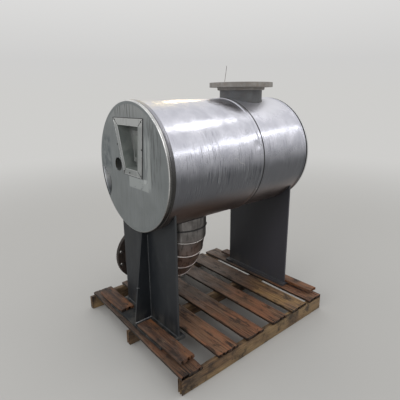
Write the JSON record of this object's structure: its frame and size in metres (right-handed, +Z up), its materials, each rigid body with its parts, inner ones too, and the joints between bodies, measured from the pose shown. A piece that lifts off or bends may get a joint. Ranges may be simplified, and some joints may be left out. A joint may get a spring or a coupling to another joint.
{
  "type": "heat exchanger",
  "caption": "Insulated horizontal heat exchanger with sheet cladding, flanged top nozzle, lagged bottom elbow and two plate saddles, tied down on a timber pallet.",
  "frame": {"origin": "underside of the pallet's middle stringer, half way along it, on the floor", "axes": "+X along the shell from the window end to the rear end, +Y across toward the side that the bottom outlet faces, +Z up"},
  "size_m": [1.2199, 1.0704, 1.6373],
  "materials": {
    "cladding": "mill-finish sheet, streaked",
    "cover_sheet": "dull weathered sheet with streaks",
    "flange_steel": "dark paint with brown surface rust",
    "hold_down_timber": "rough sawn softwood, weathered",
    "lagging_sheet": "mill-finish sheet with beads",
    "liner_sheet": "dull folded sheet",
    "nozzle_steel": "dark grey paint, worn to rust at the edges",
    "pallet_timber": "rough sawn softwood, weathered",
    "plate_blank": "blank plate, no lettering",
    "plate_pack_steel": "stainless plate edges",
    "saddle_paint": "dark slate grey paint, satin, scratched",
    "vessel_steel": "matt grey primer, dusty",
    "wire": "rusty tie wire",
    "wool": "mineral wool"
  },
  "bodies": {
    "root": {"blank_rating_plate": "plate_blank", "bottom_elbow": "nozzle_steel", "bottom_flange": "flange_steel", "bottom_nozzle_pipe": "nozzle_steel", "bottom_outlet_pipe": "nozzle_steel", "front_cover": "cover_sheet", "front_cover_rim": "cladding", "hold_down_front_left": "hold_down_timber", "hold_down_front_right": "hold_down_timber", "hold_down_rear_left": "hold_down_timber", "hold_down_rear_right": "hold_down_timber", "insulation_wool": "wool", "jacket_front": "cladding", "jacket_rear": "cladding", "lagging_collar": "lagging_sheet", "lagging_end_band": "lagging_sheet", "lagging_gore_1": "lagging_sheet", "lagging_gore_2": "lagging_sheet", "lagging_gore_3": "lagging_sheet", "lagging_gore_4": "lagging_sheet", "lagging_gore_5": "lagging_sheet", "lagging_gore_6": "lagging_sheet", "lagging_gore_7": "lagging_sheet", "lagging_neck": "lagging_sheet", "pallet_deck_boards": "pallet_timber", "pallet_stringer_left": "pallet_timber", "pallet_stringer_middle": "pallet_timber", "pallet_stringer_right": "pallet_timber", "plate_pack": "plate_pack_steel", "rating_plate_bracket": "vessel_steel", "rear_cover": "cladding", "saddle_front_base": "saddle_paint", "saddle_front_rib": "saddle_paint", "saddle_front_web": "saddle_paint", "saddle_rear_base": "saddle_paint", "saddle_rear_rib": "saddle_paint", "saddle_rear_web": "saddle_paint", "tie_wire": "wire", "top_flange": "flange_steel", "top_nozzle_pipe": "nozzle_steel", "vessel_head_front": "vessel_steel", "vessel_head_rear": "vessel_steel", "vessel_shell": "vessel_steel", "window_liner": "liner_sheet", "window_trim": "cover_sheet"}
  },
  "joints": []
}
